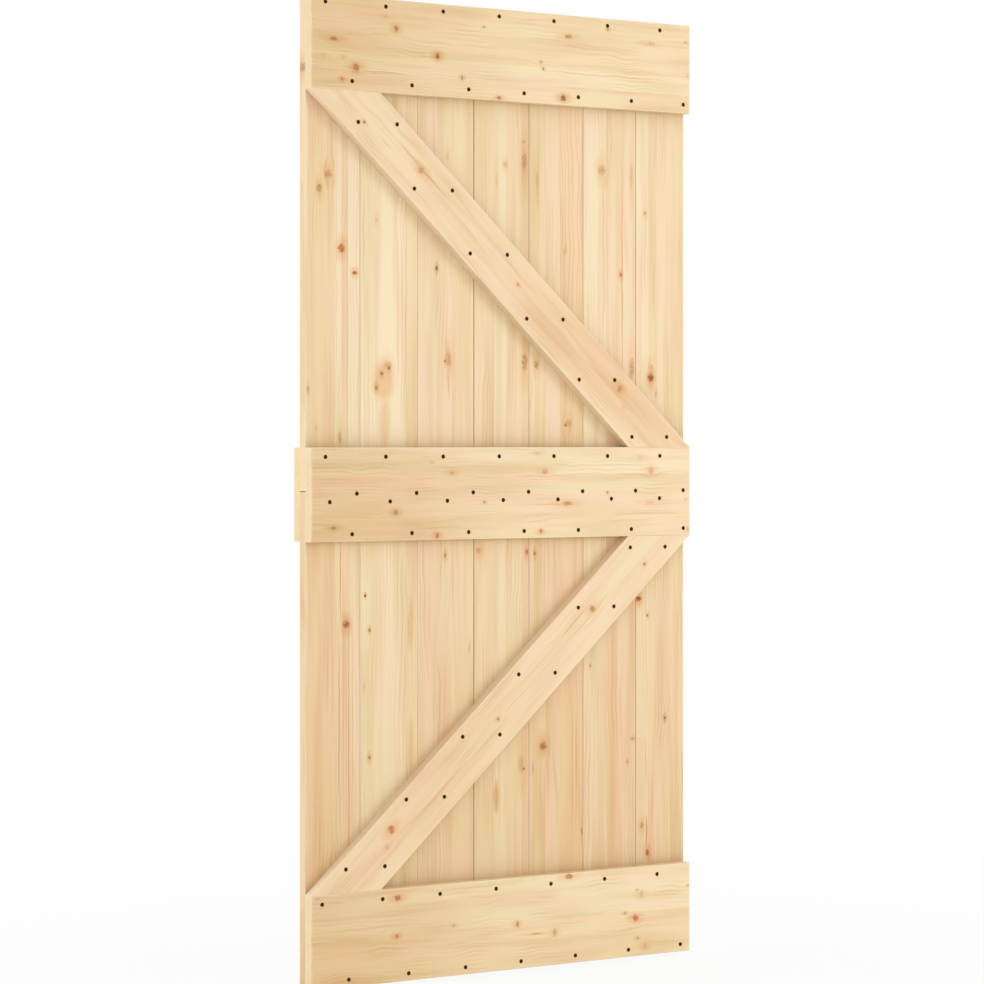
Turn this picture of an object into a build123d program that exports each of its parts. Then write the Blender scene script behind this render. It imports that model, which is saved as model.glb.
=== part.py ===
"""Sliding door leaf of solid pine: two halves of tongue-and-groove boards, ledged and braced.

The upright boards come in an upper and a lower half that meet edge to edge behind the middle rail.
Three rails and two diagonal braces lie on the front, and one more rail splices the halves at the back.
X runs along the door's width, Y from the front to the back, and Z up.
The origin is the middle of the top rail's front face, where the hangers of a track are bolted.
"""

import os
from math import sqrt

from build123d import *

# Leaf
door_width = 1000.0
door_height = 2100.0

# Boards: upright, tongue-and-groove, the outer two ripped narrower
board_count = 7
board_thickness = 24.0
edge_trim = 11.0
seam_gap = 0.5
open_seam = 3
open_seam_gap = 2.2
slack_seam = 4
slack_seam_gap = 1.2
halves_gap = 2.0
tongue_length = 8.0
tongue_thickness = 8.0
groove_clearance = 0.3
board_bevel = 0.8

# Rails: three on the front, one behind the middle one
rail_height = 200.0
rail_thickness = 24.0
back_rail_thickness = 24.0
middle_rail_drop = 6.5
rail_easing = 1.8

# Braces: corner to corner between the front rails
brace_width = 116.0
brace_easing = 1.8

# Countersunk screw seats
seat_radius = 5.0
seat_depth = 2.5
seat_taper = 45.0
seat_sides = 12
end_screw_shift = 4.5
tight_screw_shift = 12.0
outer_row_inset = 16.0
inner_row_inset = 20.0
splice_row_rise = 2.0
splice_row_drop = 15.5
brace_screw_spread = 97.5

# Where each row's screw falls across its board, as shares of the board's cover from its left seam
top_rail_shares = (0.345, 0.798)
middle_rail_shares = (0.345, 0.878, 0.419, 0.798)
bottom_rail_shares = (0.290, 0.742)

# Where each pair of screws falls down its brace, as shares of the brace's rise from its upper end
upper_brace_shares = (0.087, 0.266, 0.444, 0.627, 0.802, 0.970)
lower_brace_shares = (0.034, 0.210, 0.401, 0.575, 0.746, 0.933)

# How far each of these pairs was driven off the brace's middle line
upper_brace_shifts = (7.0, 0.0, -3.5, -6.0, -9.5, -3.5)
lower_brace_shifts = (-4.0, -1.5, -4.0, -7.5, -11.0, -8.0)

# Heights, measured from the middle of the top rail
top_z = rail_height / 2
foot_z = top_z - door_height
half_z = foot_z + door_height / 2
middle_rail_z = half_z - middle_rail_drop
top_rail_foot = top_z - rail_height
bottom_rail_top = foot_z + rail_height
middle_rail_top = middle_rail_z + rail_height / 2
middle_rail_foot = middle_rail_z - rail_height / 2

# Depths, measured from the front face
board_front = rail_thickness
board_back = board_front + board_thickness

# Board layout across the width
left_x = -door_width / 2
right_x = door_width / 2
board_cover = (door_width + 2 * edge_trim) / board_count
seams = [left_x - edge_trim + i * board_cover for i in range(board_count + 1)]

os.makedirs("parts", exist_ok=True)


def finish(piece, name):
    """Labels a finished piece and writes it to its own file."""
    piece.part.label = name
    export_step(piece.part, f"parts/{name}.step")


def gap_at(seam):
    """Width of the open joint at a seam; two seams of the leaf have opened more than the others."""
    return {open_seam: open_seam_gap, slack_seam: slack_seam_gap}.get(seam, seam_gap)


def make_board(number, name, foot, length):
    """One upright board: a tongue on its right edge, a groove in its left edge, plain at the leaf's sides."""
    first, last = number == 0, number == board_count - 1
    left = left_x if first else seams[number] + gap_at(number) / 2
    right = right_x if last else seams[number + 1] - gap_at(number + 1) / 2
    middle_y = board_front + board_thickness / 2
    groove_thickness = tongue_thickness + 2 * groove_clearance
    groove_depth = tongue_length - gap_at(number) + groove_clearance
    with BuildPart() as board:
        with BuildSketch(Plane.XY.offset(foot)) as section:
            with Locations(((left + right) / 2, middle_y)):
                Rectangle(right - left, board_thickness)
            chamfer(section.vertices(), board_bevel)
            if not last:
                with Locations((right, middle_y)):
                    Rectangle(tongue_length, tongue_thickness, align=(Align.MIN, Align.CENTER))
            if not first:
                with Locations((left, middle_y)):
                    Rectangle(
                        groove_depth,
                        groove_thickness,
                        align=(Align.MIN, Align.CENTER),
                        mode=Mode.SUBTRACT,
                    )
        extrude(amount=length)
    finish(board, name)


def row_of_screws(share, z, last_shift=0.0):
    """A row of screw places at height z, one for each board, drawn in from the leaf's sides."""
    places = [(seams[i] + share * board_cover, z) for i in range(board_count)]
    places[0] = (places[0][0] - end_screw_shift, z)
    places[-1] = (places[-1][0] - last_shift, z)
    return places


def countersink(places):
    """Tapered seats for screw heads in the front face of the piece under construction."""
    with BuildSketch(Plane.XZ) as seats:
        with Locations(*places):
            RegularPolygon(seat_radius, seat_sides)
    extrude(seats.sketch, amount=-seat_depth, taper=seat_taper, mode=Mode.SUBTRACT)


def make_rail(name, middle_z, places):
    """A front rail: a plain board on the flat, its front arrises eased, screwed to every upright board."""
    with BuildPart() as rail:
        with BuildSketch(Plane.XZ):
            with Locations((0, middle_z)):
                Rectangle(door_width, rail_height)
        extrude(amount=-rail_thickness)
        fillet(rail.faces().sort_by(Axis.Y)[0].edges(), rail_easing)
        countersink(places)
    finish(rail, name)


def make_back_rail(name, middle_z):
    """The splice rail behind the middle rail, eased on both faces and held by the long inner screws."""
    with BuildPart() as rail:
        with BuildSketch(Plane.XZ.offset(-board_back)):
            with Locations((0, middle_z)):
                Rectangle(door_width, rail_height)
        extrude(amount=-back_rail_thickness)
        fillet(rail.edges().filter_by(Axis.Y, reverse=True), rail_easing)
    finish(rail, name)


def brace_foot(rise):
    """Length of a brace's mitred end along its rail, for a brace that fills the leaf corner to corner."""
    spread = rise**2 - brace_width**2
    reach = brace_width**2 * (rise**2 + door_width**2)
    return (sqrt(door_width**2 * brace_width**4 + spread * reach) - door_width * brace_width**2) / spread


def make_brace(name, upper_z, lower_z, falls_right, shares, shifts):
    """A diagonal brace, mitred at both ends to butt against the rails above and below it."""
    rise = upper_z - lower_z
    foot = brace_foot(rise)
    run = door_width - foot
    upper_left = left_x if falls_right else left_x + run
    lower_left = left_x + run if falls_right else left_x
    corners = [
        (upper_left, upper_z),
        (upper_left + foot, upper_z),
        (lower_left + foot, lower_z),
        (lower_left, lower_z),
    ]
    places = []
    for share, shift in zip(shares, shifts):
        middle_x = upper_left + foot / 2 + share * (lower_left - upper_left) + shift
        z = upper_z - share * rise
        places += [(middle_x - brace_screw_spread / 2, z), (middle_x + brace_screw_spread / 2, z)]
    with BuildPart() as brace:
        with BuildSketch(Plane.XZ):
            with BuildLine():
                Polyline(*corners, close=True)
            make_face()
        extrude(amount=-rail_thickness)
        front_edges = brace.faces().sort_by(Axis.Y)[0].edges()
        fillet(front_edges.filter_by(Axis.X, reverse=True), brace_easing)
        countersink(places)
    finish(brace, name)


# Upright boards, upper half and lower half
half_length = (door_height - halves_gap) / 2
for number in range(board_count):
    make_board(number, f"upper_board_{number + 1}", top_z - half_length, half_length)
    make_board(number, f"lower_board_{number + 1}", foot_z, half_length)

# Rails
make_rail(
    "top_rail",
    top_z - rail_height / 2,
    row_of_screws(top_rail_shares[0], top_z - outer_row_inset)
    + row_of_screws(top_rail_shares[1], top_rail_foot + inner_row_inset),
)
make_rail(
    "middle_rail",
    middle_rail_z,
    row_of_screws(middle_rail_shares[0], middle_rail_top - inner_row_inset)
    + row_of_screws(middle_rail_shares[1], middle_rail_z + splice_row_rise, tight_screw_shift)
    + row_of_screws(middle_rail_shares[2], middle_rail_z - splice_row_drop, tight_screw_shift)
    + row_of_screws(middle_rail_shares[3], middle_rail_foot + outer_row_inset),
)
make_rail(
    "bottom_rail",
    foot_z + rail_height / 2,
    row_of_screws(bottom_rail_shares[0], bottom_rail_top - inner_row_inset)
    + row_of_screws(bottom_rail_shares[1], foot_z + outer_row_inset),
)
make_back_rail("middle_rail_back", middle_rail_z)

# Braces
make_brace("upper_brace", top_rail_foot, middle_rail_top, True, upper_brace_shares, upper_brace_shifts)
make_brace("lower_brace", middle_rail_foot, bottom_rail_top, False, lower_brace_shares, lower_brace_shifts)
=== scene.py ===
from math import atan2, cos, pi, radians, sin, sqrt

import bmesh
import bpy
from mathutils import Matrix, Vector


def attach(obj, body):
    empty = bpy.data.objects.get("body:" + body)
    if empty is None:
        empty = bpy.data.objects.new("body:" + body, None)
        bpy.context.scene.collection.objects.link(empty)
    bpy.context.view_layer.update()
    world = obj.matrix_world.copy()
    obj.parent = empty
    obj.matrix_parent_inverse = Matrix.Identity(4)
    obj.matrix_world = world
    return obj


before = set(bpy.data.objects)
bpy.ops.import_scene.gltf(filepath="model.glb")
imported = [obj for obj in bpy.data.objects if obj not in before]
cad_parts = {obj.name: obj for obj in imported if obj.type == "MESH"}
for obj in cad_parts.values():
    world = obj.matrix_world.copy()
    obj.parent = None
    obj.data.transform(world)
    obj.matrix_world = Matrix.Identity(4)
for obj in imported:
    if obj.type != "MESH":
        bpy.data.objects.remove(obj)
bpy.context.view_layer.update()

# Knots and streaks are written in millimetres, and all else in metres
MILLIMETRES = 1000

# Sizes of the leaf, in metres, as in the part's source
DOOR_WIDTH = 1.0
DOOR_HEIGHT = 2.1
RAIL_HEIGHT = 0.2
RAIL_THICKNESS = 0.024
BOARD_COUNT = 7
EDGE_TRIM = 0.011
BRACE_WIDTH = 0.116
MIDDLE_RAIL_DROP = 0.0065

# Screw seats and places, as in that source: metres, and shares of a board's cover or of a brace's rise
SEAT_RADIUS = 0.005
SEAT_DEPTH = 0.0025
END_SCREW_SHIFT = 0.0045
TIGHT_SCREW_SHIFT = 0.012
OUTER_ROW_INSET = 0.016
INNER_ROW_INSET = 0.02
SPLICE_ROW_RISE = 0.002
SPLICE_ROW_DROP = 0.0155
BRACE_SCREW_SPREAD = 0.0975
TOP_RAIL_SHARES = (0.345, 0.798)
MIDDLE_RAIL_SHARES = (0.345, 0.878, 0.419, 0.798)
BOTTOM_RAIL_SHARES = (0.290, 0.742)
UPPER_BRACE_SHARES = (0.087, 0.266, 0.444, 0.627, 0.802, 0.970)
LOWER_BRACE_SHARES = (0.034, 0.210, 0.401, 0.575, 0.746, 0.933)
UPPER_BRACE_SHIFTS = (0.007, 0.0, -0.0035, -0.006, -0.0095, -0.0035)
LOWER_BRACE_SHIFTS = (-0.004, -0.0015, -0.004, -0.0075, -0.011, -0.008)

# Door places count across from the left edge and up from the foot; the frame's origin lies here in them
ORIGIN_X = DOOR_WIDTH / 2
ORIGIN_Z = DOOR_HEIGHT - RAIL_HEIGHT / 2
COVER = (DOOR_WIDTH + 2 * EDGE_TRIM) / BOARD_COUNT
SEAMS = [i * COVER - EDGE_TRIM for i in range(BOARD_COUNT + 1)]
TOP_RAIL_FOOT = DOOR_HEIGHT - RAIL_HEIGHT
MIDDLE_Z = DOOR_HEIGHT / 2 - MIDDLE_RAIL_DROP
MIDDLE_TOP = MIDDLE_Z + RAIL_HEIGHT / 2
MIDDLE_FOOT = MIDDLE_Z - RAIL_HEIGHT / 2


def srgb(red, green, blue):
    """A colour written in display values from 0 to 255, as linear RGBA."""
    def linear(value):
        value /= 255
        return value / 12.92 if value <= 0.04045 else ((value + 0.055) / 1.055) ** 2.4
    return (linear(red), linear(green), linear(blue), 1.0)


def deeper(green):
    """A tint that deepens bare pine along its own colours, by how much green light it leaves."""
    return (green**0.55, green, green**1.6, 1.0)


# Tones of bare pine, by name
TONES = {
    "milk": srgb(254, 237, 205),
    "cream": srgb(251, 232, 199),
    "straw": srgb(249, 227, 190),
    "peach": srgb(250, 226, 193),
    "pink": srgb(249, 225, 193),
    "honey": srgb(248, 220, 182),
    "tan": srgb(245, 219, 182),
}

# Knots, and tints that the tones are multiplied by
KNOT_RIM = srgb(216, 170, 120)
KNOT_CORE = srgb(186, 121, 71)
KNOT_RED = srgb(204, 110, 56)
KNOT_HEART = srgb(92, 56, 30)
PINK_TINT = srgb(255, 249, 245)
YELLOW_TINT = srgb(252, 252, 240)
HALO_TINT = srgb(245, 220, 190)
AMBER_TINT = srgb(232, 182, 124)
STREAK_TINT = deeper(0.89)
LATE_WOOD_TINT = deeper(0.81)
HONEY_AND_SHADE_TINT = deeper(0.81)
HEARTWOOD_TINT = deeper(0.89)
# Painted shade, laid in the colour: along open joints, beside pieces that stand proud, and its deepest in a
# corner
SEAM_SHADE_TINT = deeper(0.5)
PAINTED_SHADE_TINT = (0.3, 0.25, 0.16, 1.0)
DEEPEST_PAINTED_SHADE = 0.7

# Tones that lie over the wood's own: cut ends, rubbed arrises, and painted light that makes brace sides
# paler
END_GRAIN = srgb(247, 222, 179)
RUBBED = srgb(253, 238, 211)
PAINTED_SIDE_LIGHT = srgb(250, 236, 214)

# Screw steel and floor
STEEL_DARK = srgb(63, 34, 3)
STEEL_BROWN = srgb(87, 50, 8)
STEEL_WORN = srgb(98, 70, 42)
FLOOR_LOW = srgb(220, 220, 219)
FLOOR_HIGH = srgb(228, 228, 227)

# How fast each figure changes per metre: across the grain, through the depth and along it, or all round
WANDER_SCALE = (5.0, 5.0, 1.6)
RIPPLE_SCALE = (20.0, 20.0, 8.0)
FIBRE_SCALE = (620.0, 620.0, 7.0)
STREAK_SCALE = (44.0, 26.0, 2.2)
BAND_SCALE = (16.0, 10.0, 2.0)
ZONE_SCALE = (26.0, 12.0, 4.5)
HUE_SCALE = (24.0, 12.0, 2.6)
SPECKLE_SCALE = 240.0
KNOT_OUTLINE_SCALE = 170.0
SWAY_SCALE = 9.0
MOTTLE_SCALE = 900.0
WEAR_SCALE = 2600.0
FLOOR_SCALE = 3.0

# How far rings, streaks and rubbed arrises stray from straight lines, in metres
WANDER = 0.03
RIPPLE = 0.02
SWAY = 0.008
EDGE_STRAY = 0.004

# How far the strips glued into a board were apart in the tree: along the trunk, and from its pith
STRIP_SHIFT = 7.0
STRIP_PITH_SPREAD = 0.16

# How fast and how far the width of growth rings changes from year to year, in rings
YEAR_CHANGE = 0.3
YEAR_SPREAD = 2.2

# A knot: how ragged its outline is, how its halo is drawn out, and how far the grain bends around it
KNOT_RAGGEDNESS = 1.1
HALO_SCALE = (0.6, 0.0, 0.33)
GRAIN_PULL = -0.75

# How much of the tone below it each of these covers
HALO_SHARE = 0.85
END_SHARE = 0.65
RUBBED_SHARE = 0.55

# Numbers that set apart the wood of one piece, and of one strip in it, from the next
SEED_START = 1.3
SEED_STEP = 3.7
STRIP_STEP = 0.37
PIECE_STEP = 0.21

# Gloss, and bump as its strength and its depth in metres
WOOD_ROUGHNESS = 0.5
FIBRE_ROUGHNESS = 0.2
END_ROUGHNESS = 0.15
RUBBED_GLOSS = 0.12
KNOT_GLOSS = 0.12
WOOD_SPECULAR = 0.3
WOOD_BUMP = (0.35, 0.0003)
STEEL_SPECULAR = 0.05
STEEL_BUMP = (0.2, 0.0001)
FLOOR_ROUGHNESS = 0.8


# Node helpers

def put(tree, value, socket):
    """Links a socket, or sets a plain value on it."""
    if isinstance(value, bpy.types.NodeSocket):
        tree.links.new(value, socket)
    else:
        socket.default_value = value


def math(tree, operation, *values, clamp=False):
    node = tree.nodes.new("ShaderNodeMath")
    node.operation = operation
    node.use_clamp = clamp
    for value, socket in zip(values, node.inputs):
        put(tree, value, socket)
    return node.outputs[0]


def vector_math(tree, operation, *values, output=0):
    node = tree.nodes.new("ShaderNodeVectorMath")
    node.operation = operation
    for value, socket in zip(values, node.inputs):
        put(tree, value, socket)
    return node.outputs[output]


def combine(tree, x, y, z):
    node = tree.nodes.new("ShaderNodeCombineXYZ")
    for value, socket in zip((x, y, z), node.inputs):
        put(tree, value, socket)
    return node.outputs[0]


def smooth(tree, value, low, high, to_low=0.0, to_high=1.0):
    """A smooth step: to_low below low, to_high above high."""
    node = tree.nodes.new("ShaderNodeMapRange")
    node.interpolation_type = "SMOOTHSTEP"
    for name, entry in (("From Min", low), ("From Max", high), ("To Min", to_low), ("To Max", to_high)):
        put(tree, entry, node.inputs[name])
    put(tree, value, node.inputs["Value"])
    return node.outputs[0]


def mix(tree, factor, first, second, blend="MIX"):
    node = tree.nodes.new("ShaderNodeMix")
    node.data_type = "RGBA"
    node.blend_type = blend
    put(tree, factor, node.inputs[0])
    put(tree, first, node.inputs[6])
    put(tree, second, node.inputs[7])
    return node.outputs[2]


def noise(tree, vector, scale=1.0, detail=2.0, roughness=0.5):
    node = tree.nodes.new("ShaderNodeTexNoise")
    put(tree, vector, node.inputs["Vector"])
    put(tree, scale, node.inputs["Scale"])
    put(tree, detail, node.inputs["Detail"])
    put(tree, roughness, node.inputs["Roughness"])
    return node.outputs["Fac"]


def figure(tree, place, scale, detail, roughness=0.5):
    """Noise drawn out to its own scale in each direction."""
    return noise(tree, vector_math(tree, "MULTIPLY", place, scale), 1.0, detail, roughness)


def stray(tree, value, reach):
    """A noise value as a distance to either side."""
    return math(tree, "MULTIPLY", math(tree, "SUBTRACT", value, 0.5), reach)


def group(name, inputs, outputs):
    """An empty node group with float sockets, or colour and vector ones where the name says so."""
    tree = bpy.data.node_groups.new(name, "ShaderNodeTree")
    for direction, names in (("INPUT", inputs), ("OUTPUT", outputs)):
        for entry in names:
            kind = "NodeSocketFloat"
            if "Colour" in entry:
                kind = "NodeSocketColor"
            elif "Vector" in entry:
                kind = "NodeSocketVector"
            tree.interface.new_socket(name=entry, in_out=direction, socket_type=kind)
    return tree, tree.nodes.new("NodeGroupInput").outputs, tree.nodes.new("NodeGroupOutput").inputs


def use_group(tree, source, **values):
    node = tree.nodes.new("ShaderNodeGroup")
    node.node_tree = source
    for name, value in values.items():
        put(tree, value, node.inputs[name.replace("_", " ")])
    return node.outputs


def new_material(name):
    """A material with its node tree, its shader and the object's own coordinates."""
    material = bpy.data.materials.new(name)
    material.use_nodes = True
    tree = material.node_tree
    places = tree.nodes.new("ShaderNodeTexCoord").outputs["Object"]
    return material, tree, tree.nodes["Principled BSDF"], places


def add_bump(tree, shader, height, strength, depth):
    """Raises a shader's surface by a height from 0 to 1."""
    bump = tree.nodes.new("ShaderNodeBump")
    bump.inputs["Strength"].default_value = strength
    bump.inputs["Distance"].default_value = depth
    put(tree, height, bump.inputs["Height"])
    put(tree, bump.outputs[0], shader.inputs["Normal"])


# Wood

def make_knot_group():
    """One knot: adds itself and its halo to those before it, and bends the grain around itself.
    Vectors hold the place across the grain in X and along it in Z."""
    tree, given, result = group(
        "knot",
        ["Place Vector", "Ragged Vector", "Centre Vector", "Per Size Vector", "Narrow", "Strength", "Red",
         "Knot", "Halo", "Bend", "Redness"],
        ["Knot", "Halo", "Bend", "Redness"],
    )
    off = vector_math(tree, "SUBTRACT", given["Place Vector"], given["Centre Vector"])
    scaled = vector_math(tree, "MULTIPLY", off, given["Per Size Vector"])
    uneven = vector_math(tree, "MULTIPLY", given["Ragged Vector"], given["Per Size Vector"])
    uneven = vector_math(tree, "SCALE", uneven)
    tree.links.new(given["Narrow"], uneven.node.inputs["Scale"])
    reach = vector_math(tree, "LENGTH", vector_math(tree, "ADD", scaled, uneven), output=1)
    wide = vector_math(tree, "LENGTH", vector_math(tree, "MULTIPLY", scaled, HALO_SCALE), output=1)
    knot = math(tree, "MULTIPLY", smooth(tree, reach, 0.35, 1.25, 1.0, 0.0), given["Strength"])
    put(tree, math(tree, "MAXIMUM", given["Knot"], knot), result["Knot"])
    near = smooth(tree, wide, 0.3, 1.2, 1.0, 0.0)
    halo = math(tree, "MULTIPLY", near, given["Strength"])
    put(tree, math(tree, "MAXIMUM", given["Halo"], halo), result["Halo"])
    redness = math(tree, "MULTIPLY_ADD", near, given["Red"], given["Redness"], clamp=True)
    put(tree, redness, result["Redness"])
    split = tree.nodes.new("ShaderNodeSeparateXYZ")
    put(tree, off, split.inputs[0])
    pull = math(tree, "MULTIPLY", math(tree, "MULTIPLY", split.outputs[0], near), GRAIN_PULL)
    put(tree, math(tree, "ADD", given["Bend"], pull), result["Bend"])
    return tree


def make_streak_group():
    """One resin streak or spindle of darker wood along the grain."""
    tree, given, result = group(
        "streak",
        ["Place Vector", "Centre Vector", "Per Size Vector", "Strength", "Amber"],
        ["Amber"],
    )
    off = vector_math(tree, "SUBTRACT", given["Place Vector"], given["Centre Vector"])
    scaled = vector_math(tree, "MULTIPLY", off, given["Per Size Vector"])
    reach = vector_math(tree, "LENGTH", scaled, output=1)
    amber = math(tree, "MULTIPLY", smooth(tree, reach, 0.4, 1.1, 1.0, 0.0), given["Strength"])
    put(tree, math(tree, "MAXIMUM", given["Amber"], amber), result["Amber"])
    return tree


def make_painted_shade_group():
    """Painted shade of one neighbour a layer proud: deepest next to it, gone a few thicknesses away."""
    tree, given, result = group("painted_shade", ["Distance", "Share", "Corner"], ["Corner"])
    off = given["Distance"]
    slant = math(tree, "SQRT", math(tree, "MULTIPLY_ADD", off, off, RAIL_THICKNESS**2))
    hidden = math(tree, "MULTIPLY_ADD", math(tree, "DIVIDE", off, slant), -0.5, 0.5)
    hidden = math(tree, "MULTIPLY", hidden, math(tree, "GREATER_THAN", off, 0.0))
    put(tree, math(tree, "MULTIPLY_ADD", hidden, given["Share"], given["Corner"]), result["Corner"])
    return tree


def make_pine_group():
    """Pine off the saw: growth rings about a pith outside the board, fibres, streaks, knots and end grain.
    """
    tree, given, result = group(
        "pine",
        ["Across", "Depth", "Along", "Grain", "Seed", "Strip", "Strip Colour",
         "Pith Across", "Pith Depth", "Pith Tilt", "Ring",
         "Knot", "Halo", "Bend", "Redness", "Amber", "Honey", "End", "Edge", "Corner", "Sawn", "Seam"],
        ["Colour", "Roughness", "Height"],
    )
    depth = given["Depth"]
    start = math(tree, "MULTIPLY_ADD", given["Strip"], STRIP_SHIFT, given["Seed"])
    along = math(tree, "MULTIPLY_ADD", given["Along"], given["Grain"], start)
    across = math(tree, "ADD", given["Across"], given["Bend"])
    bent = combine(tree, across, depth, along)
    plain = combine(tree, given["Across"], depth, along)

    # Growth rings
    wander = stray(tree, figure(tree, bent, WANDER_SCALE, 1.0), WANDER)
    wander = math(tree, "ADD", wander, stray(tree, figure(tree, bent, RIPPLE_SCALE, 1.0), RIPPLE))
    pith_shift = stray(tree, given["Strip"], STRIP_PITH_SPREAD)
    from_pith = math(
        tree, "SUBTRACT", math(tree, "ADD", across, wander),
        math(tree, "ADD", given["Pith Across"], pith_shift),
    )
    below = math(
        tree, "SUBTRACT",
        math(tree, "ADD", depth, math(tree, "MULTIPLY", given["Along"], given["Pith Tilt"])),
        given["Pith Depth"],
    )
    radius = vector_math(tree, "LENGTH", combine(tree, from_pith, below, 0.0), output=1)
    turns = math(tree, "DIVIDE", radius, given["Ring"])
    year = combine(tree, math(tree, "MULTIPLY", turns, YEAR_CHANGE), given["Seed"], 0.0)
    years = noise(tree, year, detail=1.0)
    phase = math(tree, "FRACT", math(tree, "ADD", turns, math(tree, "MULTIPLY", years, YEAR_SPREAD)))
    late = math(
        tree, "MULTIPLY",
        smooth(tree, phase, 0.45, 0.9),
        smooth(tree, phase, 0.92, 1.0, 1.0, 0.0),
    )

    # Fibres, fine streaks and broad bands of tone
    fibre = figure(tree, plain, FIBRE_SCALE, 2.0, 0.6)
    streak = figure(tree, bent, STREAK_SCALE, 1.5)
    band = figure(tree, bent, BAND_SCALE, 1.5)
    zone = figure(tree, bent, ZONE_SCALE, 1.0)
    hue = figure(tree, bent, HUE_SCALE, 1.5)
    speckle = noise(tree, combine(tree, given["Across"], depth, given["Along"]), SPECKLE_SCALE, 2.0)

    # Tone of the strip, deepened by each of these
    ring_share = math(tree, "MULTIPLY", late, smooth(tree, zone, 0.4, 0.75, 0.03, 0.85))
    colour = mix(tree, ring_share, given["Strip Colour"], LATE_WOOD_TINT, "MULTIPLY")
    colour = mix(tree, smooth(tree, streak, 0.45, 0.72), colour, STREAK_TINT, "MULTIPLY")
    colour = mix(tree, smooth(tree, band, 0.42, 0.72), colour, HEARTWOOD_TINT, "MULTIPLY")
    hue_tint = mix(tree, smooth(tree, hue, 0.35, 0.65), PINK_TINT, YELLOW_TINT)
    colour = mix(tree, 1.0, colour, hue_tint, "MULTIPLY")
    colour = mix(tree, smooth(tree, fibre, 0.45, 0.8, 0.0, 0.2), colour, STREAK_TINT, "MULTIPLY")
    # Deeper honey tone toward one end, partly the wood's own and partly painted shade; none on the cut ends
    honey = math(tree, "MULTIPLY", given["Honey"], math(tree, "SUBTRACT", 1.0, given["End"]))
    colour = mix(tree, honey, colour, HONEY_AND_SHADE_TINT, "MULTIPLY")
    colour = mix(tree, given["Amber"], colour, AMBER_TINT, "MULTIPLY")
    colour = mix(tree, math(tree, "MULTIPLY", given["Halo"], HALO_SHARE), colour, HALO_TINT, "MULTIPLY")

    # Knots: rim, core and heart, each with a speckled outline
    knot = math(tree, "MULTIPLY", given["Knot"], smooth(tree, speckle, 0.25, 0.75, 0.78, 1.2))
    colour = mix(tree, smooth(tree, knot, 0.05, 0.6, 0.0, 0.9), colour, KNOT_RIM)
    core = mix(tree, given["Redness"], KNOT_CORE, KNOT_RED)
    colour = mix(tree, smooth(tree, knot, 0.4, 0.85, 0.0, 0.9), colour, core)
    colour = mix(tree, smooth(tree, knot, 0.85, 1.35, 0.0, 0.95), colour, KNOT_HEART)

    # Cut ends, and arrises that are rubbed paler and smoother in broken stretches
    colour = mix(tree, math(tree, "MULTIPLY", given["End"], END_SHARE), colour, END_GRAIN)
    uneven_edge = math(tree, "ADD", given["Edge"], stray(tree, speckle, EDGE_STRAY))
    rubbed = math(
        tree, "MULTIPLY",
        smooth(tree, uneven_edge, 0.0006, 0.0034, 1.0, 0.0),
        smooth(tree, zone, 0.35, 0.6, 0.25, 1.0),
    )
    colour = mix(tree, math(tree, "MULTIPLY", rubbed, RUBBED_SHARE), colour, RUBBED)

    # Painted light on the braces' sides, painted shade along open seams and beside other pieces
    colour = mix(tree, given["Sawn"], colour, PAINTED_SIDE_LIGHT)
    colour = mix(tree, given["Seam"], colour, SEAM_SHADE_TINT, "MULTIPLY")
    painted_shade = math(tree, "MINIMUM", given["Corner"], DEEPEST_PAINTED_SHADE)
    colour = mix(tree, painted_shade, colour, PAINTED_SHADE_TINT, "MULTIPLY")
    put(tree, colour, result["Colour"])

    # Fibres are rougher, arrises and knots smoother, cut ends roughest
    rough = math(tree, "ADD", WOOD_ROUGHNESS, math(tree, "MULTIPLY", fibre, FIBRE_ROUGHNESS))
    rough = math(tree, "SUBTRACT", rough, math(tree, "MULTIPLY", rubbed, RUBBED_GLOSS))
    rough = math(tree, "SUBTRACT", rough, math(tree, "MULTIPLY", given["Knot"], KNOT_GLOSS))
    rough = math(tree, "ADD", rough, math(tree, "MULTIPLY", given["End"], END_ROUGHNESS), clamp=True)
    put(tree, rough, result["Roughness"])
    put(tree, fibre, result["Height"])
    return tree


KNOT = make_knot_group()
STREAK = make_streak_group()
PAINTED_SHADE_NODES = make_painted_shade_group()
PINE = make_pine_group()


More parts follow.
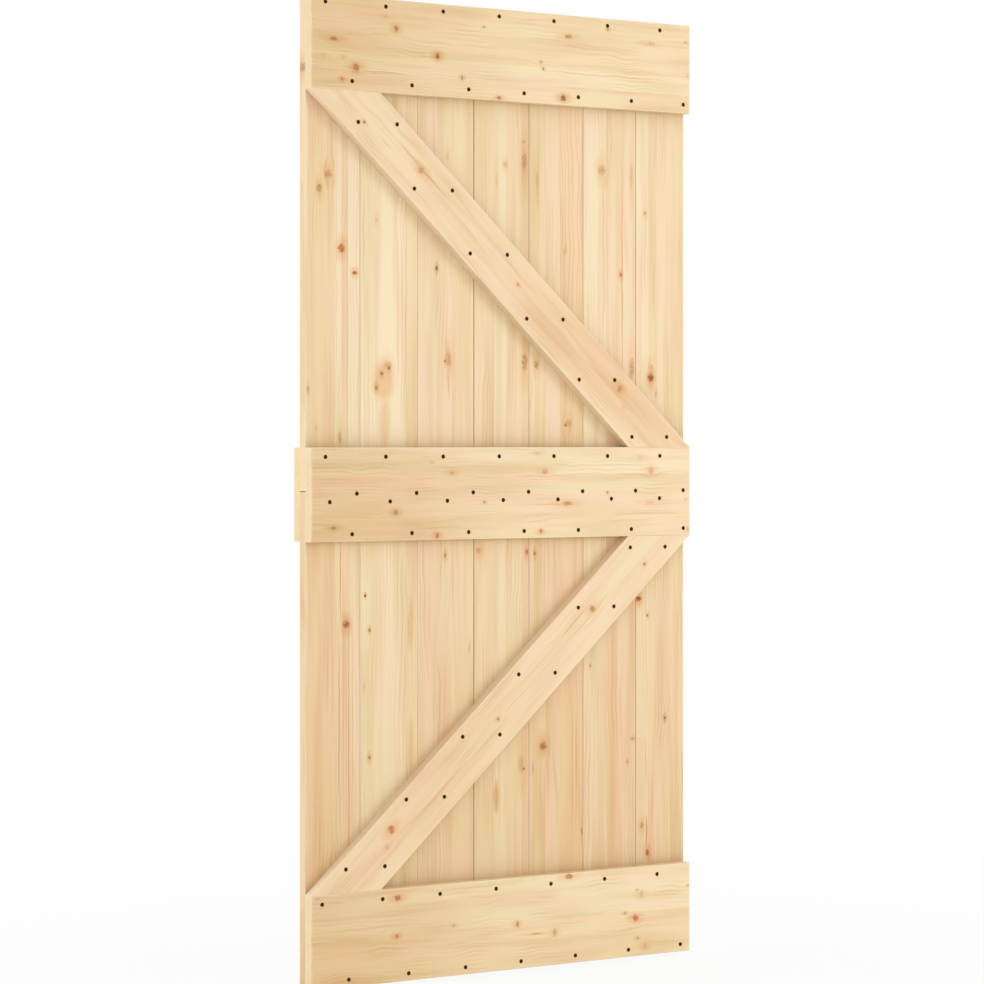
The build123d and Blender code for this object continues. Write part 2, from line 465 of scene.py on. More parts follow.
def pine_material(
    name, number, along_axis, across_axis, low, high, front, ends, strips, knots, streaks, pith, honey, ring,
    grain, neighbours=(), seams=(0.0, 0.0), side_light=0.0,
):
    """The wood of one piece. Low and high are its long edges across the grain, front the depth of its front
    face, and ends where the grain is cut square, all in metres. Strips are (share of the width where the
    strip starts, tone). Knots and streaks are (across the door, up the door, half size across the grain,
    half size along it, strength), in millimetres. Honey is (strength at the start of the grain, length over
    which it fades) of a deeper tone, partly the wood's own and partly painted shade where the light falls
    off.
    Ring is a growth ring's width, and grain is how short the figure runs. Neighbours are (direction away
    from a piece that stands proud, its edge in that direction, strength of its painted shade on the front
    face and on the back face). Seams is how deep the painted shade along the joints at the low and the high
    edge is, and side_light is how much painted light makes the sides paler."""
    material, tree, shader, places = new_material(name)
    door = vector_math(tree, "ADD", places, (ORIGIN_X, 0.0, ORIGIN_Z))
    across = vector_math(tree, "DOT_PRODUCT", door, across_axis, output=1)
    along = vector_math(tree, "DOT_PRODUCT", door, along_axis, output=1)
    split = tree.nodes.new("ShaderNodeSeparateXYZ")
    put(tree, door, split.inputs[0])
    place = combine(tree, across, 0.0, along)
    rough_edge = tree.nodes.new("ShaderNodeTexNoise")
    put(tree, door, rough_edge.inputs["Vector"])
    rough_edge.inputs["Scale"].default_value = KNOT_OUTLINE_SCALE
    rough_edge.inputs["Detail"].default_value = 2.0
    ragged = vector_math(
        tree, "MULTIPLY_ADD", rough_edge.outputs["Color"],
        (KNOT_RAGGEDNESS, 0.0, KNOT_RAGGEDNESS), (-KNOT_RAGGEDNESS / 2, 0.0, -KNOT_RAGGEDNESS / 2),
    )
    sway = stray(tree, noise(tree, along, SWAY_SCALE, 1.0), SWAY)
    swayed = combine(tree, math(tree, "ADD", across, sway), 0.0, along)

    ramp = tree.nodes.new("ShaderNodeValToRGB")
    ramp.color_ramp.interpolation = "CONSTANT"
    entries = ramp.color_ramp.elements
    while len(entries) < len(strips):
        entries.new(1.0)
    while len(entries) > len(strips):
        entries.remove(entries[-1])
    for index, (entry, (share, tone)) in enumerate(zip(entries, strips)):
        entry.position = share
        entry.color = TONES[tone][:3] + ((STRIP_STEP * (index + 1) + PIECE_STEP * number) % 1.0,)
    put(tree, math(tree, "DIVIDE", math(tree, "SUBTRACT", across, low), high - low), ramp.inputs[0])

    sideways, lengthways = Vector(across_axis), Vector(along_axis)

    def spot(line, x, z, half_across, half_along, strength):
        """The sockets that place a knot or streak in the grain."""
        centre = Vector((x, 0.0, z)) / MILLIMETRES
        return {
            "Place_Vector": line,
            "Centre_Vector": (centre.dot(sideways), 0.0, centre.dot(lengthways)),
            "Per_Size_Vector": (MILLIMETRES / half_across, 0.0, MILLIMETRES / half_along),
            "Strength": strength,
        }

    # A knot's ragged outline is in proportion to its lesser half size
    state = {"Knot": 0.0, "Halo": 0.0, "Bend": 0.0, "Redness": 0.0}
    for knot in knots:
        out = use_group(
            tree, KNOT, Ragged_Vector=ragged, Narrow=min(knot[2:4]) / MILLIMETRES,
            Red=float(knot[:2] in RED_KNOTS), **spot(place, *knot), **state,
        )
        state = {key: out[key] for key in state}
    amber = 0.0
    for streak in streaks:
        amber = use_group(tree, STREAK, **spot(swayed, *streak), Amber=amber)["Amber"]

    normal = tree.nodes.new("ShaderNodeNewGeometry").outputs["True Normal"]
    facing = math(tree, "ABSOLUTE", vector_math(tree, "DOT_PRODUCT", normal, along_axis, output=1))

    def distance(place, first, last):
        """How far a place lies from the nearer of two faces."""
        from_first = math(tree, "ABSOLUTE", math(tree, "SUBTRACT", place, first))
        return math(tree, "MINIMUM", from_first, math(tree, "ABSOLUTE", math(tree, "SUBTRACT", last, place)))

    # An arris is near where two of the three distances to the piece's faces are small
    aside = distance(across, low, high)
    inward = distance(split.outputs[1], front, front + RAIL_THICKNESS)
    edge = math(tree, "MAXIMUM", aside, inward)
    if ends:
        edge = math(tree, "MINIMUM", edge, distance(along, *ends))
        edge = math(tree, "MAXIMUM", edge, math(tree, "MINIMUM", aside, inward))

    # Painted shade beside the rails and the brace that lie on an upright board, and along its open joints
    facing_y = vector_math(tree, "DOT_PRODUCT", normal, (0.0, 1.0, 0.0), output=1)
    before = smooth(tree, facing_y, -0.8, -0.5, 1.0, 0.0)
    behind = smooth(tree, facing_y, 0.5, 0.8)
    broad = math(tree, "ADD", before, behind)
    painted_shade = 0.0
    for away, edge_at, on_front, on_back in neighbours:
        gap = math(tree, "SUBTRACT", vector_math(tree, "DOT_PRODUCT", door, away, output=1), edge_at)
        share = math(tree, "MULTIPLY_ADD", before, on_front, math(tree, "MULTIPLY", behind, on_back))
        painted_shade = use_group(tree, PAINTED_SHADE_NODES, Distance=gap, Share=share, Corner=painted_shade)["Corner"]
    # Painted shade in a thin line beside the open joints at the board's long edges, on its broad faces
    left_seam = smooth(tree, math(tree, "SUBTRACT", across, low), *SEAM_REACH, seams[0], 0.0)
    right_seam = smooth(tree, math(tree, "SUBTRACT", high, across), *SEAM_REACH, seams[1], 0.0)
    seam = math(tree, "MULTIPLY", math(tree, "ADD", left_seam, right_seam), broad)
    pith_across, pith_depth, pith_tilt = pith
    honey_strength, honey_length = honey
    # Deeper honey tone from the foot or left end, partly the wood's own and partly painted shade where light
    # falls off
    honey_and_shade = smooth(tree, along, 0.0, honey_length, honey_strength, 0.0)
    wood = use_group(
        tree, PINE,
        Across=across, Depth=split.outputs[1], Along=along, Grain=grain,
        Seed=SEED_STEP * number + SEED_START,
        Strip=ramp.outputs["Alpha"], Strip_Colour=ramp.outputs["Color"],
        Pith_Across=(low + high) / 2 + pith_across, Pith_Depth=pith_depth, Pith_Tilt=pith_tilt, Ring=ring,
        Amber=amber, Honey=math(tree, "MULTIPLY", honey_and_shade, broad),
        End=smooth(tree, facing, 0.75, 0.9), Edge=edge, Corner=painted_shade, Seam=seam,
        Sawn=math(tree, "MULTIPLY_ADD", broad, -side_light, side_light), **state,
    )
    put(tree, wood["Colour"], shader.inputs["Base Color"])
    put(tree, wood["Roughness"], shader.inputs["Roughness"])
    shader.inputs["Specular IOR Level"].default_value = WOOD_SPECULAR
    add_bump(tree, shader, wood["Height"], *WOOD_BUMP)
    return material


# Strips of each upright board, the same above and below the splice
BOARD_STRIPS = [
    [(0.0, "straw"), (0.05, "honey"), (0.53, "cream"), (0.66, "peach"), (0.77, "cream")],
    [(0.0, "milk"), (0.79, "straw")],
    [(0.0, "pink"), (0.34, "peach"), (0.6, "straw")],
    [(0.0, "straw"), (0.36, "cream"), (0.58, "straw"), (0.86, "tan")],
    [(0.0, "straw"), (0.3, "pink"), (0.57, "honey")],
    [(0.0, "cream"), (0.43, "peach"), (0.75, "pink")],
    [(0.0, "cream"), (0.26, "peach"), (0.72, "straw")],
]

# How dark the painted shade is beside each seam's open joint, from the leaf's left side to its right,
# and its line's reach
SEAM_SHADE = [0.0, 0.45, 0.0, 0.0, 0.0, 0.85, 0.8, 0.0]
SEAM_REACH = (0.0007, 0.0018)

# Pith of each upright board: across from its middle, behind the front face, tilt along the grain
BOARD_PITHS = [
    (0.16, 0.06, 0.004), (-0.15, 0.09, 0.008), (0.13, 0.05, 0.006), (-0.12, 0.07, 0.01),
    (0.1, 0.09, 0.012), (0.12, 0.1, 0.015), (-0.14, 0.06, 0.006),
]

# Knots: millimetres across the door and up it, half sizes across and along the grain, strength
KNOTS = {
    "upper_board_1": [
        (56, 1723, 13, 12, 0.6), (34, 1692, 9, 12, 0.65), (1, 1946, 6, 13, 0.6),
        (89, 1567, 10.5, 11.5, 0.9), (122, 1515, 7, 5, 1.05), (6, 1266, 4.5, 10, 0.5),
        (26, 1186, 3, 4, 0.45), (85, 1164, 5.5, 17.5, 0.5),
    ],
    "upper_board_2": [
        (208, 1314, 5.5, 6, 0.9), (190, 1301, 5.5, 5.5, 0.8), (176, 1271, 5.5, 5.5, 0.85),
        (177, 1630, 5, 7, 0.3), (205, 1319, 14, 11, 0.38),
    ],
    "upper_board_3": [
        (330, 1531, 4.5, 6, 1.2), (359, 1334, 11, 23, 0.5), (352, 1330, 3.5, 5, 0.85),
        (358, 1775, 6, 15, 0.25),
    ],
    "upper_board_4": [
        (560, 1773, 9.5, 29, 0.6), (559, 1816, 7, 6, 0.5), (510, 1765, 8.5, 8.5, 0.42),
        (487, 1728, 4, 24, 0.3), (561, 1331, 10, 26, 0.65),
    ],
    "upper_board_5": [
        (595, 1733, 4, 24, 0.45), (669, 1580, 4.5, 4.5, 0.35), (592, 1326, 7.5, 13, 0.65),
        (679, 1196, 12, 13, 0.5), (672, 1192, 4.5, 4, 0.9),
    ],
    "upper_board_6": [
        (771, 1763, 14, 16, 0.48), (853, 1750, 6, 38, 0.35), (824, 1530, 5.5, 6.5, 0.8),
        (854, 1320, 9, 31, 0.5),
    ],
    "upper_board_7": [
        (891, 1671, 5, 6, 0.45), (907, 1300, 10.5, 12.5, 1.15), (907, 1325, 11, 9, 0.35),
        (922, 1264, 3.5, 9.5, 0.45),
    ],
    "lower_board_1": [(101, 767, 10.5, 10.5, 1)],
    "lower_board_2": [
        (148, 827, 3, 3.5, 1.5), (159, 753, 4, 5, 0.9), (159, 481, 5, 6, 0.85),
        (145, 634, 5, 9.5, 0.3),
    ],
    "lower_board_3": [(352, 909, 4.5, 6.5, 0.8), (415, 707, 3, 7, 0.4)],
    "lower_board_4": [
        (440, 918, 10, 8.5, 0.5), (567, 912, 5, 8, 0.9), (558, 435, 4, 4, 0.9),
        (552, 445, 9.5, 29, 0.45),
    ],
    "lower_board_5": [
        (588, 909, 4, 6.5, 0.9), (610, 482, 12.5, 12, 0.95), (583, 434, 3, 8.5, 0.5),
        (716, 288, 3, 14.5, 0.7),
    ],
    "lower_board_6": [(739, 655, 3, 4, 0.7), (857, 486, 7.5, 4.5, 0.55), (842, 435, 3.5, 3.5, 0.75)],
    "lower_board_7": [
        (873, 801, 10, 8, 1.1), (898, 763, 3.5, 4, 0.8), (947, 529, 4.5, 5, 1.15),
        (882, 289, 7.5, 9, 0.6), (898, 227, 7, 10, 0.95),
    ],
    "top_rail": [
        (55, 2007, 6, 13, 0.9), (211, 2039, 9.5, 7, 0.85), (184, 2063, 4, 6.5, 0.3),
        (317, 1987, 9, 7, 1.05), (110, 1950, 12, 11, 0.85), (76, 1923, 5.5, 4, 0.8),
        (29, 1969, 6, 8, 0.3), (79, 1969, 5.5, 6.5, 0.35), (380, 1944, 6, 4.5, 0.7),
        (437, 2058, 3, 3.5, 0.7), (477, 1906, 5, 7, 0.8), (662, 2053, 6.5, 13, 0.65),
        (588, 1991, 4.5, 3.5, 0.6), (595, 1977, 5, 4, 0.6), (770, 2076, 4, 3.5, 0.7),
        (891, 2052, 6.5, 16.5, 0.35), (988, 2061, 2.4, 3.5, 0.6), (648, 1916, 9, 9, 1.1),
        (995, 1986, 7.5, 4.5, 0.35),
    ],
    "middle_rail": [
        (303, 1111, 2.5, 3, 0.5), (354, 1088, 5.5, 8, 0.55), (438, 1024, 3.5, 3.5, 0.7),
        (210, 1004, 8.5, 7, 0.75), (55, 973, 5.5, 10.5, 0.75), (316, 953, 8, 6, 0.8),
        (599, 1090, 8.5, 11, 0.5), (580, 1130, 5, 9, 0.35), (660, 1019, 6.5, 16, 0.6),
        (769, 1042, 4, 3, 0.75), (890, 1090, 12, 10, 0.45), (862, 1120, 9, 13, 0.25),
        (588, 958, 7, 5.5, 0.7), (888, 1019, 6.5, 16.5, 0.3), (988, 1025, 2.4, 3, 0.5),
        (995, 957, 6.5, 4.5, 0.5),
    ],
    "bottom_rail": [
        (215, 180, 8, 10.5, 0.85), (213, 98, 6.5, 6.5, 0.75), (359, 109, 3.5, 3.5, 0.6),
        (16, 193, 2.4, 3, 0.5), (664, 193, 8, 13.5, 0.7), (525, 98, 8.5, 6, 0.65),
        (625, 72, 11.5, 7, 0.5), (574, 73, 2.6, 21, 0.5), (847, 86, 9.5, 10, 0.85),
        (851, 149, 2.3, 2.6, 0.7), (863, 138, 9, 7.5, 0.4), (818, 99, 4, 4.5, 0.6),
        (853, 40, 4, 4.5, 0.6), (873, 21, 10, 7.5, 0.4), (995, 148, 3.5, 2.6, 0.6),
    ],
    "middle_rail_back": [
        (120, 1080, 8, 9, 0.85), (318, 980, 6, 5, 0.7), (452, 1102, 8, 12, 0.6),
        (640, 1010, 9, 8, 0.9), (705, 965, 4, 4, 0.7), (861, 1075, 7, 10, 0.75),
    ],
    "upper_brace": [
        (131, 1835, 4.5, 4, 0.8), (275, 1739, 10, 12, 0.6), (527, 1500, 4.5, 3.5, 0.7),
        (803, 1274, 12, 9.5, 0.65), (813, 1233, 5.5, 4.5, 0.3),
    ],
    "lower_brace": [
        (872, 880, 5.5, 4.5, 0.75), (728, 784, 11.5, 9.5, 0.65), (474, 550, 5, 4, 0.7),
        (199, 327, 12, 11.5, 0.75), (189, 289, 8, 6, 0.35),
    ],
}

# Knots that are red and not brown, by their places
RED_KNOTS = {
    (588, 1991), (76, 1923), (89, 1567), (824, 1530), (122, 1515), (907, 1300), (803, 1274),
    (672, 1192), (873, 801), (728, 784), (101, 767), (199, 327), (898, 227), (847, 86),
}

# Resin streaks and spindles of darker wood, written like the knots
STREAKS = {
    "upper_board_1": [(76, 1500, 2, 300, 0.25), (104, 1400, 1.5, 420, 0.4)],
    "upper_board_2": [(195, 1286, 34, 56, 0.5), (198, 1200, 19, 72, 0.36), (252, 1500, 2, 420, 0.25)],
    "upper_board_3": [(362, 1275, 2, 40, 0.5), (331, 1500, 1.5, 380, 0.3)],
    "upper_board_6": [(828, 1500, 2, 420, 0.4)],
    "lower_board_1": [
        (86, 860, 1.8, 110, 0.85), (83, 560, 1.8, 220, 0.8), (107, 500, 1.8, 420, 0.6),
        (97, 560, 12, 380, 0.12), (94, 560, 1.4, 300, 0.5), (101, 520, 1.4, 300, 0.45),
        (117, 500, 1.4, 400, 0.4), (0, 480, 5, 1200, 0.12),
    ],
    "lower_board_2": [(263, 760, 9, 70, 0.35), (264, 500, 8, 80, 0.3)],
    "lower_board_4": [(485, 377, 10, 42, 0.6)],
    "lower_board_5": [(690, 420, 2, 160, 0.45), (700, 420, 2, 170, 0.4)],
    "lower_board_6": [(800, 500, 22, 300, 0.22)],
    "lower_board_7": [
        (896, 275, 3, 45, 0.8), (893, 430, 2, 70, 0.4), (912, 340, 2, 80, 0.3), (997, 400, 4, 60, 0.4),
    ],
    "top_rail": [(180, 1942, 1.6, 60, 0.5), (760, 1972, 2.2, 160, 0.35), (290, 1984, 1.5, 30, 0.4)],
    "middle_rail": [(110, 1072, 10, 150, 0.15), (610, 1017, 2, 70, 0.35)],
    "bottom_rail": [(120, 120, 4, 130, 0.25), (930, 135, 8, 60, 0.2)],
    "upper_brace": [
        (300, 1719, 3, 60, 0.5), (250, 1768, 2.5, 45, 0.4), (186, 1791, 2, 25, 0.4),
        (740, 1320, 70, 420, 0.24),
    ],
    "lower_brace": [(680, 757, 4, 60, 0.4), (640, 733, 1.2, 300, 0.3), (330, 420, 70, 380, 0.12)],
}

# Where the wood runs to a deeper honey tone, partly its own and partly painted shade where the light falls
# off:
# strength at the foot or left end, and how far it fades
BOARD_HONEY = (0.75, 1.4)
RAIL_HONEY = (1.0, 0.65)
NO_HONEY = (0.0, 1.0)

# Width of a growth ring
BOARD_RING = 0.0085
RAIL_RING = 0.0075

# How short the figure runs along the grain
BOARD_GRAIN = 1.0
RAIL_GRAIN = 1.6

# Grain direction and the direction across it, for boards and for rails
UPRIGHT = ((0.0, 0.0, 1.0), (1.0, 0.0, 0.0))
LEVEL = ((1.0, 0.0, 0.0), (0.0, 0.0, 1.0))

# Numbers of the first rail and the first brace, after those of the boards
FIRST_RAIL = 20
FIRST_BRACE = 30


def brace_foot(rise):
    """Length of a brace's mitred end along its rail."""
    spread = rise**2 - BRACE_WIDTH**2
    reach = BRACE_WIDTH**2 * (rise**2 + DOOR_WIDTH**2)
    return (sqrt(DOOR_WIDTH**2 * BRACE_WIDTH**4 + spread * reach) - DOOR_WIDTH * BRACE_WIDTH**2) / spread


def dress(node, material):
    """Gives a solid of the frame its material."""
    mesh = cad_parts[node].data
    mesh.materials.clear()
    mesh.materials.append(material)


def brace_frame(upper_z, lower_z, falls_right):
    """Grain direction of a brace, the direction across it, and its two long edges measured across."""
    rise = upper_z - lower_z
    run = DOOR_WIDTH - brace_foot(rise)
    angle = atan2(-rise if falls_right else rise, run)
    along = (cos(angle), 0.0, sin(angle))
    across = (-sin(angle), 0.0, cos(angle))
    start = Vector((0.0, 0.0, upper_z if falls_right else lower_z))
    edge = start.dot(Vector(across))
    low = edge if falls_right else edge - BRACE_WIDTH
    return along, across, low, low + BRACE_WIDTH


UPPER_BRACE = brace_frame(TOP_RAIL_FOOT, MIDDLE_TOP, True)
LOWER_BRACE = brace_frame(MIDDLE_FOOT, RAIL_HEIGHT, False)


def neighbours_of(rail_above, above_shade, rail_below, below_shade, brace, leans_left, brace_shade):
    """What stands proud of a half's boards: the rail above, the rail below and the brace. A rail's painted
    shade is its strength on the front and on the back, and a brace's is its strength on the left and on the
    right."""
    _, across, low, high = brace
    back_across = tuple(-entry for entry in across)
    left_side, right_side = (across, high), (back_across, -low)
    if not leans_left:
        left_side, right_side = right_side, left_side
    return [
        ((0.0, 0.0, -1.0), -rail_above, *above_shade),
        ((0.0, 0.0, 1.0), rail_below, *below_shade),
        (*left_side, brace_shade[0], 0.0),
        (*right_side, brace_shade[1], 0.0),
    ]


# Halves: name, number of the first board, foot, and the pieces that stand proud of the boards
# with the strength of their painted shade
HALVES = [
    ("upper", 0, DOOR_HEIGHT / 2, neighbours_of(
        TOP_RAIL_FOOT, (0.8, 0.0), MIDDLE_TOP, (1.0, 0.8), UPPER_BRACE, False, (0.2, 0.95),
    )),
    ("lower", BOARD_COUNT, 0.0, neighbours_of(
        MIDDLE_FOOT, (0.55, 0.55), RAIL_HEIGHT, (1.0, 0.0), LOWER_BRACE, True, (0.4, 0.95),
    )),
]
for half, offset, foot, neighbours in HALVES:
    for i in range(BOARD_COUNT):
        node = f"{half}_board_{i + 1}"
        dress(node, pine_material(
            node, i + offset, *UPRIGHT, max(SEAMS[i], 0.0), min(SEAMS[i + 1], DOOR_WIDTH),
            RAIL_THICKNESS, (foot, foot + DOOR_HEIGHT / 2), BOARD_STRIPS[i], KNOTS[node],
            STREAKS.get(node, []), BOARD_PITHS[i], BOARD_HONEY, BOARD_RING, BOARD_GRAIN, neighbours,
            SEAM_SHADE[i:i + 2],
        ))

# Rails: foot, depth of the front face, strips and pith
RAILS = [
    ("top_rail", TOP_RAIL_FOOT, 0.0,
     [(0.0, "straw"), (0.2, "cream"), (0.4, "straw")], (0.17, 0.1, 0.01)),
    ("middle_rail", MIDDLE_FOOT, 0.0,
     [(0.0, "straw"), (0.24, "peach"), (0.7, "cream")], (-0.16, 0.09, 0.012)),
    ("bottom_rail", 0.0, 0.0,
     [(0.0, "straw"), (0.5, "cream")], (0.18, 0.12, 0.01)),
    ("middle_rail_back", MIDDLE_FOOT, 2 * RAIL_THICKNESS,
     [(0.0, "straw"), (0.35, "cream"), (0.7, "peach")], (0.02, -0.05, 0.02)),
]
for number, (node, foot, front, strips, pith) in enumerate(RAILS):
    dress(node, pine_material(
        node, number + FIRST_RAIL, *LEVEL, foot, foot + RAIL_HEIGHT, front, (0.0, DOOR_WIDTH), strips,
        KNOTS[node], STREAKS.get(node, []), pith, RAIL_HONEY, RAIL_RING, RAIL_GRAIN,
    ))


# Braces: where they lie, strips and pith; painted light makes their sides paler than their faces
BRACE_SIDE_LIGHT = 0.35
BRACES = [
    ("upper_brace", UPPER_BRACE, [(0.0, "peach"), (0.52, "peach")], (0.12, 0.06, 0.004)),
    ("lower_brace", LOWER_BRACE, [(0.0, "peach"), (0.45, "peach")], (-0.1, 0.08, 0.004)),
]
for number, (node, direction, strips, pith) in enumerate(BRACES):
    dress(node, pine_material(
        node, number + FIRST_BRACE, *direction, 0.0, (), strips, KNOTS[node], STREAKS[node], pith,
        NO_HONEY, RAIL_RING, RAIL_GRAIN, side_light=BRACE_SIDE_LIGHT,
    ))


# Screws: places as in the part's source, in door metres

def row_of_screws(share, z, last_shift=0.0):
    """A row at height z, one screw for each board, drawn in from the leaf's sides."""
    places = [(SEAMS[i] + share * COVER, z) for i in range(BOARD_COUNT)]
    places[0] = (places[0][0] - END_SCREW_SHIFT, z)
    places[-1] = (places[-1][0] - last_shift, z)
    return places


def brace_screws(upper_z, lower_z, falls_right, shares, shifts):
    """Pairs of screws down a brace."""
    rise = upper_z - lower_z
    foot = brace_foot(rise)
    run = DOOR_WIDTH - foot
    upper_left, lower_left = (0.0, run) if falls_right else (run, 0.0)
    places = []
    for share, shift in zip(shares, shifts):
        x = upper_left + foot / 2 + share * (lower_left - upper_left) + shift
        z = upper_z - share * rise
        places += [(x - BRACE_SCREW_SPREAD / 2, z), (x + BRACE_SCREW_SPREAD / 2, z)]
    return places


SCREWS = {
    "top_rail_screws": row_of_screws(TOP_RAIL_SHARES[0], DOOR_HEIGHT - OUTER_ROW_INSET)
    + row_of_screws(TOP_RAIL_SHARES[1], TOP_RAIL_FOOT + INNER_ROW_INSET),
    "middle_rail_screws": row_of_screws(MIDDLE_RAIL_SHARES[0], MIDDLE_TOP - INNER_ROW_INSET)
    + row_of_screws(MIDDLE_RAIL_SHARES[1], MIDDLE_Z + SPLICE_ROW_RISE, TIGHT_SCREW_SHIFT)
    + row_of_screws(MIDDLE_RAIL_SHARES[2], MIDDLE_Z - SPLICE_ROW_DROP, TIGHT_SCREW_SHIFT)
    + row_of_screws(MIDDLE_RAIL_SHARES[3], MIDDLE_FOOT + OUTER_ROW_INSET),
    "bottom_rail_screws": row_of_screws(BOTTOM_RAIL_SHARES[0], RAIL_HEIGHT - INNER_ROW_INSET)
    + row_of_screws(BOTTOM_RAIL_SHARES[1], OUTER_ROW_INSET),
    "upper_brace_screws": brace_screws(
        TOP_RAIL_FOOT, MIDDLE_TOP, True, UPPER_BRACE_SHARES, UPPER_BRACE_SHIFTS,
    ),
    "lower_brace_screws": brace_screws(
        MIDDLE_FOOT, RAIL_HEIGHT, False, LOWER_BRACE_SHARES, LOWER_BRACE_SHIFTS,
    ),
}

# A screw head: its size, its cross recess, and how far each of its parts lies below the wood's face
HEAD_RADIUS = SEAT_RADIUS * 0.955
RIM_RADIUS = HEAD_RADIUS * 0.985
FACE_RADIUS = HEAD_RADIUS * 0.85
FOOT_RADIUS = HEAD_RADIUS * 0.5
HEAD_SIDES = 24
CROSS_ARM = HEAD_RADIUS * 0.62
CROSS_WAIST = HEAD_RADIUS * 0.2
CROSS_SPOKE = radians(14)
CROSS_TAPER = 0.7
CROSS_DEPTH = 0.0011
FACE_DEPTH = 0.00015
MOUTH_DEPTH = 0.0002
RIM_DEPTH = 0.00025
TAPER_DEPTH = 0.0005
FOOT_DEPTH = SEAT_DEPTH * 0.92

# Turn of each screw from the one before, and of a rail's or brace's screws from the last's, in radians
SCREW_TURN = 0.61
PIECE_TURN = 1.7


def add_screw(mesh, x, z, turn):
    """One countersunk head with a cross recess, a little below the wood's face."""
    def loop(radius_at, depth):
        """A loop of points around the screw's axis, with a radius for each angle."""
        points = []
        for k in range(HEAD_SIDES):
            angle = 2 * pi * k / HEAD_SIDES
            radius = radius_at(angle)
            points.append(mesh.verts.new((
                x + radius * cos(turn + angle), depth, z + radius * sin(turn + angle),
            )))
        return points

    def cross(angle):
        """Radius of the cross recess's outline."""
        spoke = abs(((angle + pi / 4) % (pi / 2)) - pi / 4)
        return CROSS_ARM if spoke < CROSS_SPOKE else CROSS_WAIST / cos(pi / 4 - spoke)

    foot = loop(lambda angle: FOOT_RADIUS, FOOT_DEPTH)
    taper = loop(lambda angle: HEAD_RADIUS, TAPER_DEPTH)
    rim = loop(lambda angle: RIM_RADIUS, RIM_DEPTH)
    face = loop(lambda angle: FACE_RADIUS, FACE_DEPTH)
    mouth = loop(cross, MOUTH_DEPTH)
    floor = loop(lambda angle: CROSS_TAPER * cross(angle), MOUTH_DEPTH + CROSS_DEPTH)
    loops = [foot, taper, rim, face, mouth, floor]
    for low, high in zip(loops, loops[1:]):
        for k in range(HEAD_SIDES):
            after = (k + 1) % HEAD_SIDES
            mesh.faces.new((low[k], low[after], high[after], high[k]))
    mesh.faces.new(floor)
    mesh.faces.new(list(reversed(foot)))


def screw_material():
    """Blackened steel, worn to brown-grey on the raised parts."""
    material, tree, shader, places = new_material("screw_steel")
    mottled = noise(tree, places, MOTTLE_SCALE, 3.0, 0.6)
    wear = noise(tree, places, WEAR_SCALE, 2.0, 0.6)
    colour = mix(tree, smooth(tree, mottled, 0.35, 0.7), STEEL_DARK, STEEL_BROWN)
    colour = mix(tree, smooth(tree, wear, 0.62, 0.8, 0.0, 0.5), colour, STEEL_WORN)
    put(tree, colour, shader.inputs["Base Color"])
    put(tree, smooth(tree, mottled, 0.3, 0.7, 0.42, 0.62), shader.inputs["Roughness"])
    shader.inputs["Specular IOR Level"].default_value = STEEL_SPECULAR
    add_bump(tree, shader, wear, *STEEL_BUMP)
    return material


STEEL = screw_material()
for number, (name, places) in enumerate(SCREWS.items()):
    mesh = bmesh.new()
    for k, (x, z) in enumerate(places):
        add_screw(mesh, x - ORIGIN_X, z - ORIGIN_Z, SCREW_TURN * k + PIECE_TURN * number)
    bmesh.ops.recalc_face_normals(mesh, faces=mesh.faces)
    data = bpy.data.meshes.new(name)
    mesh.to_mesh(data)
    mesh.free()
    data.materials.append(STEEL)
    piece = bpy.data.objects.new(name, data)
    bpy.context.scene.collection.objects.link(piece)
    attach(piece, "root")


# Floor, light and camera

FLOOR_GAP = 0.01
FLOOR_Z = -ORIGIN_Z - FLOOR_GAP
FLOOR_SIZE = 60

# How far off the leaf's shadow on the floor fades out, and how much the floor glows near it and beyond
SHADOW_REACH = (0.6, 2.5)
FLOOR_GLOW = (0.92, 1.0)


def seen_share(tree):
    """One for rays that see a surface straight, mirrored or through glass, and zero for all others."""
    rays = tree.nodes.new("ShaderNodeLightPath").outputs
    seen = math(tree, "ADD", rays["Is Camera Ray"], rays["Is Glossy Ray"])
    return math(tree, "ADD", seen, rays["Is Transmission Ray"], clamp=True)


def floor_material():
    """A pale floor that reads as white to the eye and keeps a faint shadow of the leaf."""
    material, tree, shader, places = new_material("pale_floor")
    colour = mix(tree, noise(tree, places, FLOOR_SCALE), FLOOR_LOW, FLOOR_HIGH)
    put(tree, colour, shader.inputs["Base Color"])
    shader.inputs["Roughness"].default_value = FLOOR_ROUGHNESS
    glow = tree.nodes.new("ShaderNodeEmission")
    blend = tree.nodes.new("ShaderNodeMixShader")
    away = vector_math(tree, "LENGTH", places, output=1)
    glowing = math(tree, "MULTIPLY", seen_share(tree), smooth(tree, away, *SHADOW_REACH, *FLOOR_GLOW))
    put(tree, glowing, blend.inputs[0])
    put(tree, shader.outputs[0], blend.inputs[1])
    put(tree, glow.outputs[0], blend.inputs[2])
    put(tree, blend.outputs[0], tree.nodes["Material Output"].inputs["Surface"])
    return material


bpy.ops.mesh.primitive_plane_add(size=FLOOR_SIZE, location=(0, 0, FLOOR_Z))
floor = bpy.context.object
floor.name = "floor"
floor.data.materials.append(floor_material())

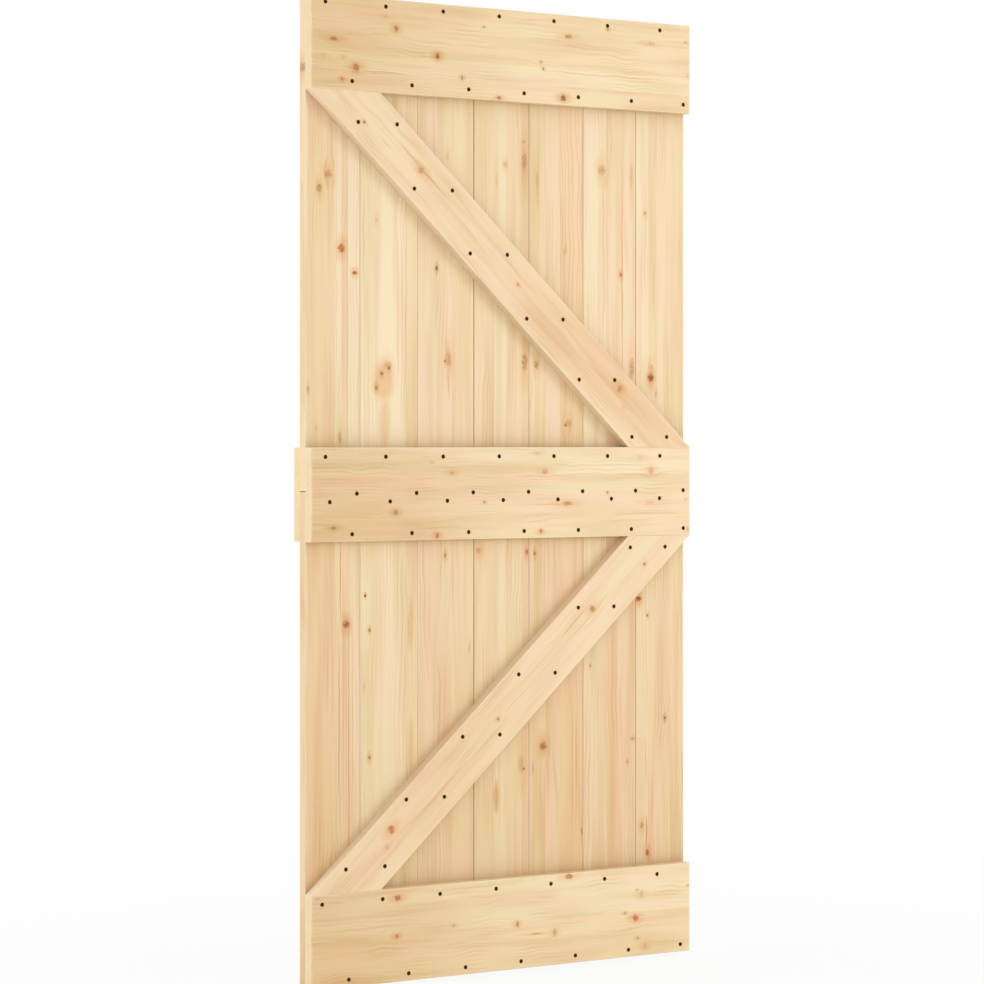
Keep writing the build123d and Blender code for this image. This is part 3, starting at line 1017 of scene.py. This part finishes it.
# Sky: white to the eye, and as a light a little weaker from the front, most of all from the left
SKY_LEFT = 0.58
SKY_RIGHT = 0.72
SKY_BEHIND = 0.75
world = bpy.data.worlds.new("studio")
bpy.context.scene.world = world
world.use_nodes = True
tree = world.node_tree
direction = tree.nodes.new("ShaderNodeSeparateXYZ")
put(tree, tree.nodes.new("ShaderNodeTexCoord").outputs["Generated"], direction.inputs[0])
ahead = smooth(tree, direction.outputs[0], -0.8, 0.8, SKY_LEFT, SKY_RIGHT)
behind = smooth(tree, direction.outputs[1], -0.3, 0.3, ahead, SKY_BEHIND)
background = tree.nodes["Background"]
put(tree, mix(tree, seen_share(tree), behind, (1.0, 1.0, 1.0, 1.0)), background.inputs["Color"])
background.inputs["Strength"].default_value = 1.0


# Lamps, round, aimed halfway from the frame's origin to the leaf's foot: place, width and power
AIM = Vector((0.0, 0.0, -ORIGIN_Z / 2))
LAMPS = {
    "key": ((5.5, -4.2, 0.0), 3.0, 128.0),
    "fill": ((-0.5, -8.0, -0.3), 4.0, 101.0),
    "back": ((3.0, 7.0, 1.0), 3.0, 75.0),
    "edge": ((-5.0, 1.0, -0.4), 2.0, 66.0),
}
for name, (place, size, power) in LAMPS.items():
    data = bpy.data.lights.new(name, "AREA")
    data.shape = "DISK"
    data.size = size
    data.energy = power
    lamp = bpy.data.objects.new(name, data)
    lamp.location = place
    lamp.rotation_euler = (AIM - Vector(place)).to_track_quat("-Z", "Y").to_euler()
    bpy.context.scene.collection.objects.link(lamp)

# Camera: level, as far off and as long a lens as the leaf's own edges call for
IMAGE_SIZE = 984
SENSOR_WIDTH = 36.0
FOCAL_PIXELS = 3299.3
HORIZON_PIXEL = 440.74
CAMERA_YAW = radians(33.976)
CAMERA_PLACE = (-3.5614, -5.9647, 1.1576)
data = bpy.data.cameras.new("camera")
data.sensor_width = SENSOR_WIDTH
data.lens = FOCAL_PIXELS / IMAGE_SIZE * SENSOR_WIDTH
data.shift_y = (HORIZON_PIXEL - IMAGE_SIZE / 2) / IMAGE_SIZE
camera = bpy.data.objects.new("camera", data)
camera.location = Vector(CAMERA_PLACE) - Vector((ORIGIN_X, 0.0, ORIGIN_Z))
camera.rotation_euler = (pi / 2, 0.0, -CAMERA_YAW)
bpy.context.scene.collection.objects.link(camera)
bpy.context.scene.camera = camera

bpy.context.scene.view_settings.view_transform = "Standard"
